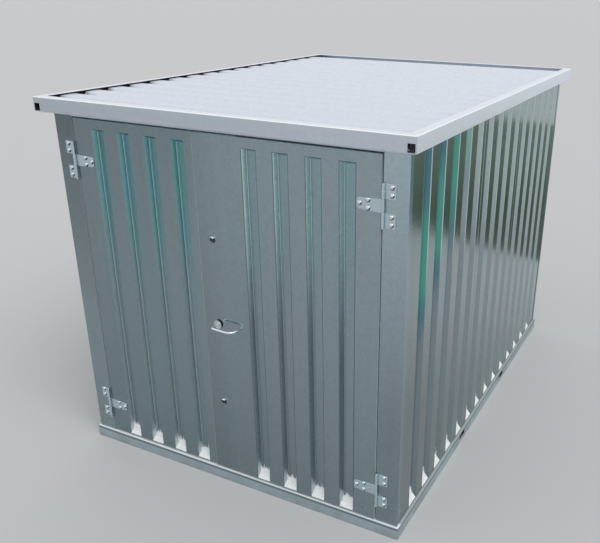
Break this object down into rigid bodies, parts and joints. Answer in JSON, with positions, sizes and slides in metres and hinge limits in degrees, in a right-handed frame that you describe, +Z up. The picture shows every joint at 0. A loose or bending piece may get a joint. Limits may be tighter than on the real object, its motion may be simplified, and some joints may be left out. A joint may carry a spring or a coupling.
{
  "type": "storage container",
  "caption": "Demountable steel store with ribbed walls, a flat ribbed roof in a raised rim, a base frame and a two-leaf front door with a bow handle.",
  "frame": {"origin": "on the ground, under the centre of the whole container", "axes": "+Z up, +Y from the doors at the front to the back wall, +X to the right seen from the doors"},
  "size_m": [2.2, 3.05, 2.15],
  "materials": {
    "wall_zinc": "hot-dip galvanised sheet, satin to glossy",
    "roof_zinc": "new galvanised sheet, pale and satin",
    "frame_zinc": "galvanised folded section, matt",
    "base_zinc": "galvanised folded section, matt and dusty",
    "fitting_zinc": "bright zinc plate",
    "floor_timber": "plain pressed board"
  },
  "bodies": {
    "container": {"back_wall_left": "wall_zinc", "back_wall_right": "wall_zinc", "base_rail_back": "base_zinc", "base_rail_front": "base_zinc", "base_rail_left": "base_zinc", "base_rail_right": "base_zinc", "corner_post_back_left": "wall_zinc", "corner_post_back_right": "wall_zinc", "corner_post_front_left": "wall_zinc", "corner_post_front_right": "wall_zinc", "door_header": "wall_zinc", "door_sill": "base_zinc", "floor_board_back": "floor_timber", "floor_board_front": "floor_timber", "floor_joists": "base_zinc", "hinge_lugs_lower_left": "fitting_zinc", "hinge_lugs_lower_right": "fitting_zinc", "hinge_lugs_upper_left": "fitting_zinc", "hinge_lugs_upper_right": "fitting_zinc", "roof_beam_back": "frame_zinc", "roof_beam_front": "frame_zinc", "roof_beam_left": "frame_zinc", "roof_beam_right": "frame_zinc", "roof_sheet_back": "roof_zinc", "roof_sheet_front": "roof_zinc", "roof_sheet_middle": "roof_zinc", "side_wall_left_back": "wall_zinc", "side_wall_left_front": "wall_zinc", "side_wall_left_middle": "wall_zinc", "side_wall_right_back": "wall_zinc", "side_wall_right_front": "wall_zinc", "side_wall_right_middle": "wall_zinc"},
    "left_leaf": {"door_left": "wall_zinc", "door_left_braces": "wall_zinc", "hinge_strap_lower_left": "fitting_zinc", "hinge_strap_upper_left": "fitting_zinc"},
    "right_leaf": {"door_right": "wall_zinc", "door_right_braces": "wall_zinc", "hinge_strap_lower_right": "fitting_zinc", "hinge_strap_upper_right": "fitting_zinc", "handle_rosette": "fitting_zinc", "lock_case": "fitting_zinc", "lock_rods": "fitting_zinc", "rod_guides": "fitting_zinc"},
    "handle": {"handle_bow": "fitting_zinc"}
  },
  "joints": [
    {"name": "left_door_hinge", "type": "hinge", "parent": "container", "child": "left_leaf", "pos_m": [-0.925, -1.4605, 0], "axis": [0, 0, -1], "range_deg": [0, 170]},
    {"name": "right_door_hinge", "type": "hinge", "parent": "container", "child": "right_leaf", "pos_m": [0.925, -1.4605, 0], "axis": [0, 0, 1], "range_deg": [0, 170]},
    {"name": "handle_turn", "type": "hinge", "parent": "right_leaf", "child": "handle", "pos_m": [-0.03, -1.4565, 1.025], "axis": [0, 1, 0], "range_deg": [0, 90]}
  ]
}
